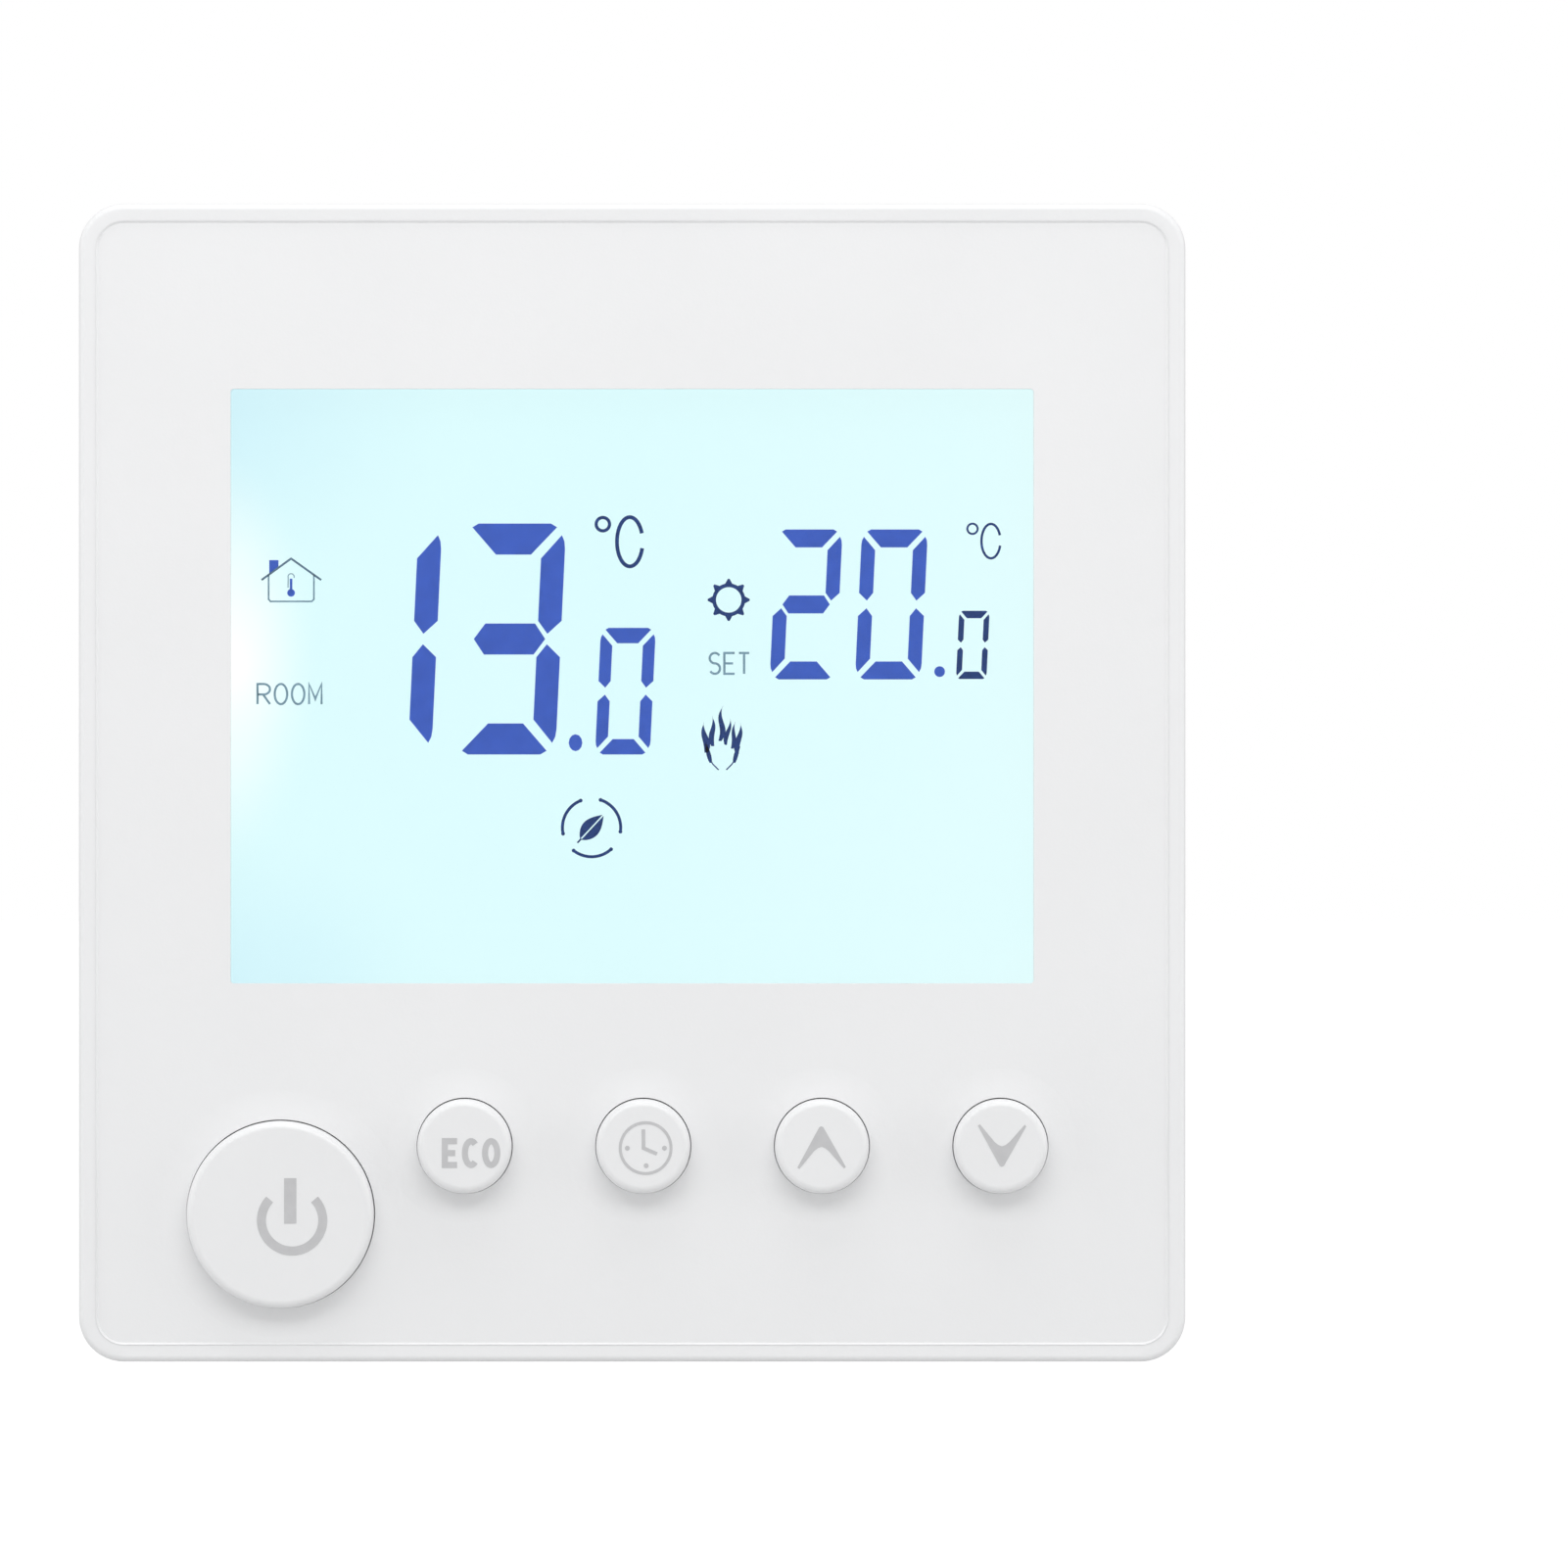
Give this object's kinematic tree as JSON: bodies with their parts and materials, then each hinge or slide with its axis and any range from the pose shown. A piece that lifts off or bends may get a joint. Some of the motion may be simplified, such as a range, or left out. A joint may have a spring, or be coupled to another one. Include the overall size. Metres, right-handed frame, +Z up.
{
  "type": "wall thermostat",
  "caption": "White wall thermostat: display and push buttons on a clip-on front unit, over a power base with rising-clamp terminals that sits in a square wall box.",
  "frame": {"origin": "centre of the wall plane, midway between the two mounting screws", "axes": "+Z up, +X to the right seen from the front, +Y into the wall; the display faces -Y"},
  "size_m": [0.086, 0.0446, 0.09],
  "materials": {
    "black_plastic": "black moulded nylon",
    "board_green": "green solder mask with tinned pads",
    "capacitor_dark": "shrink sleeve",
    "clear_acrylic": "polished clear acrylic over a lit display",
    "epoxy_black": "black epoxy",
    "ferrite": "ferrite core with taped coil",
    "film_yellow": "yellow potted box",
    "holder_white": "matte white moulded plastic",
    "housing_grey": "white flame-retardant moulded plastic, light texture",
    "label_silver": "matt silver film label, blank ruled boxes only",
    "lcd_glass": "lit pale cyan liquid crystal glass with blue segments",
    "led_white": "ceramic-white LED package with yellow phosphor",
    "light_guide": "milky diffusing acrylic",
    "relay_blue": "blue moulded relay case",
    "rubber_grey": "striped conductive silicone rubber",
    "steel": "nickel-plated steel",
    "switch_black": "black moulded plunger",
    "terminal_green": "green moulded polyamide",
    "varistor_blue": "blue epoxy dip",
    "white_abs": "fine satin moulded ABS, white",
    "white_cap": "satin moulded ABS, white, pad-printed grey symbols",
    "zinc_yellow": "yellow-passivated zinc plate, iridescent gold, pink and green"
  },
  "bodies": {
    "base": {"rear_housing": "housing_grey", "inner_cover": "housing_grey", "inner_cover_screw_left": "steel", "inner_cover_screw_right": "steel", "power_board": "board_green", "relay": "relay_blue", "transformer": "ferrite", "film_capacitor": "film_yellow", "filter_capacitor": "capacitor_dark", "varistor": "varistor_blue", "fuse": "epoxy_black", "header_socket": "black_plastic", "terminal_block": "terminal_green", "rating_label": "label_silver", "mounting_screw_left": "zinc_yellow", "mounting_screw_right": "zinc_yellow"},
    "front_unit": {"front_cover": "white_abs", "display_window": "clear_acrylic", "lcd_glass": "lcd_glass", "lcd_holder": "holder_white", "light_guide": "light_guide", "backlight_led": "led_white", "zebra_strip": "rubber_grey", "main_board": "board_green", "header_pins": "black_plastic", "mcu_chip": "epoxy_black", "battery_holder": "black_plastic", "clock_battery": "steel", "ntc_sensor": "epoxy_black", "board_screw_1": "steel", "board_screw_2": "steel", "board_screw_3": "steel", "board_screw_4": "steel", "power_switch_body": "black_plastic", "eco_switch_body": "black_plastic", "clock_switch_body": "black_plastic", "up_switch_body": "black_plastic", "down_switch_body": "black_plastic"},
    "power_key": {"power_button": "white_cap", "power_switch_plunger": "switch_black"},
    "eco_key": {"eco_button": "white_cap", "eco_switch_plunger": "switch_black"},
    "clock_key": {"clock_button": "white_cap", "clock_switch_plunger": "switch_black"},
    "up_key": {"up_button": "white_cap", "up_switch_plunger": "switch_black"},
    "down_key": {"down_button": "white_cap", "down_switch_plunger": "switch_black"},
    "terminal_screw_turning_1": {"terminal_screw_1": "steel"},
    "clamp_rising_1": {"clamp_cage_1": "steel"},
    "terminal_screw_turning_2": {"terminal_screw_2": "steel"},
    "clamp_rising_2": {"clamp_cage_2": "steel"},
    "terminal_screw_turning_3": {"terminal_screw_3": "steel"},
    "clamp_rising_3": {"clamp_cage_3": "steel"},
    "terminal_screw_turning_4": {"terminal_screw_4": "steel"},
    "clamp_rising_4": {"clamp_cage_4": "steel"},
    "terminal_screw_turning_5": {"terminal_screw_5": "steel"},
    "clamp_rising_5": {"clamp_cage_5": "steel"},
    "terminal_screw_turning_6": {"terminal_screw_6": "steel"},
    "clamp_rising_6": {"clamp_cage_6": "steel"}
  },
  "joints": [
    {"name": "front_unit_pull", "type": "slide", "parent": "base", "child": "front_unit", "axis": [0, -1, 0], "range_m": [0, 0.025]},
    {"name": "power_press", "type": "slide", "parent": "front_unit", "child": "power_key", "axis": [0, 1, 0], "range_m": [0, 0.0005], "stiffness_N_per_m": 800, "springref_m": -0.0015},
    {"name": "eco_press", "type": "slide", "parent": "front_unit", "child": "eco_key", "axis": [0, 1, 0], "range_m": [0, 0.0005], "stiffness_N_per_m": 800, "springref_m": -0.0015},
    {"name": "clock_press", "type": "slide", "parent": "front_unit", "child": "clock_key", "axis": [0, 1, 0], "range_m": [0, 0.0005], "stiffness_N_per_m": 800, "springref_m": -0.0015},
    {"name": "up_press", "type": "slide", "parent": "front_unit", "child": "up_key", "axis": [0, 1, 0], "range_m": [0, 0.0005], "stiffness_N_per_m": 800, "springref_m": -0.0015},
    {"name": "down_press", "type": "slide", "parent": "front_unit", "child": "down_key", "axis": [0, 1, 0], "range_m": [0, 0.0005], "stiffness_N_per_m": 800, "springref_m": -0.0015},
    {"name": "clamp_rise_1", "type": "slide", "parent": "base", "child": "clamp_rising_1", "axis": [0, 1, 0], "range_m": [0, 0.0014]},
    {"name": "terminal_screw_turn_1", "type": "hinge", "parent": "base", "child": "terminal_screw_turning_1", "pos_m": [-0.01875, 0.02, -0.022], "axis": [0, -1, 0], "range_deg": [0, 1009]},
    {"name": "clamp_rise_2", "type": "slide", "parent": "base", "child": "clamp_rising_2", "axis": [0, 1, 0], "range_m": [0, 0.0014]},
    {"name": "terminal_screw_turn_2", "type": "hinge", "parent": "base", "child": "terminal_screw_turning_2", "pos_m": [-0.01125, 0.02, -0.022], "axis": [0, -1, 0], "range_deg": [0, 1009]},
    {"name": "clamp_rise_3", "type": "slide", "parent": "base", "child": "clamp_rising_3", "axis": [0, 1, 0], "range_m": [0, 0.0014]},
    {"name": "terminal_screw_turn_3", "type": "hinge", "parent": "base", "child": "terminal_screw_turning_3", "pos_m": [-0.00375, 0.02, -0.022], "axis": [0, -1, 0], "range_deg": [0, 1009]},
    {"name": "clamp_rise_4", "type": "slide", "parent": "base", "child": "clamp_rising_4", "axis": [0, 1, 0], "range_m": [0, 0.0014]},
    {"name": "terminal_screw_turn_4", "type": "hinge", "parent": "base", "child": "terminal_screw_turning_4", "pos_m": [0.00375, 0.02, -0.022], "axis": [0, -1, 0], "range_deg": [0, 1009]},
    {"name": "clamp_rise_5", "type": "slide", "parent": "base", "child": "clamp_rising_5", "axis": [0, 1, 0], "range_m": [0, 0.0014]},
    {"name": "terminal_screw_turn_5", "type": "hinge", "parent": "base", "child": "terminal_screw_turning_5", "pos_m": [0.01125, 0.02, -0.022], "axis": [0, -1, 0], "range_deg": [0, 1009]},
    {"name": "clamp_rise_6", "type": "slide", "parent": "base", "child": "clamp_rising_6", "axis": [0, 1, 0], "range_m": [0, 0.0014]},
    {"name": "terminal_screw_turn_6", "type": "hinge", "parent": "base", "child": "terminal_screw_turning_6", "pos_m": [0.01875, 0.02, -0.022], "axis": [0, -1, 0], "range_deg": [0, 1009]}
  ],
  "couplings": [
    {"joint": "terminal_screw_turn_1", "follows": "clamp_rise_1", "rad_per_m": 12566},
    {"joint": "terminal_screw_turn_2", "follows": "clamp_rise_2", "rad_per_m": 12566},
    {"joint": "terminal_screw_turn_3", "follows": "clamp_rise_3", "rad_per_m": 12566},
    {"joint": "terminal_screw_turn_4", "follows": "clamp_rise_4", "rad_per_m": 12566},
    {"joint": "terminal_screw_turn_5", "follows": "clamp_rise_5", "rad_per_m": 12566},
    {"joint": "terminal_screw_turn_6", "follows": "clamp_rise_6", "rad_per_m": 12566}
  ]
}
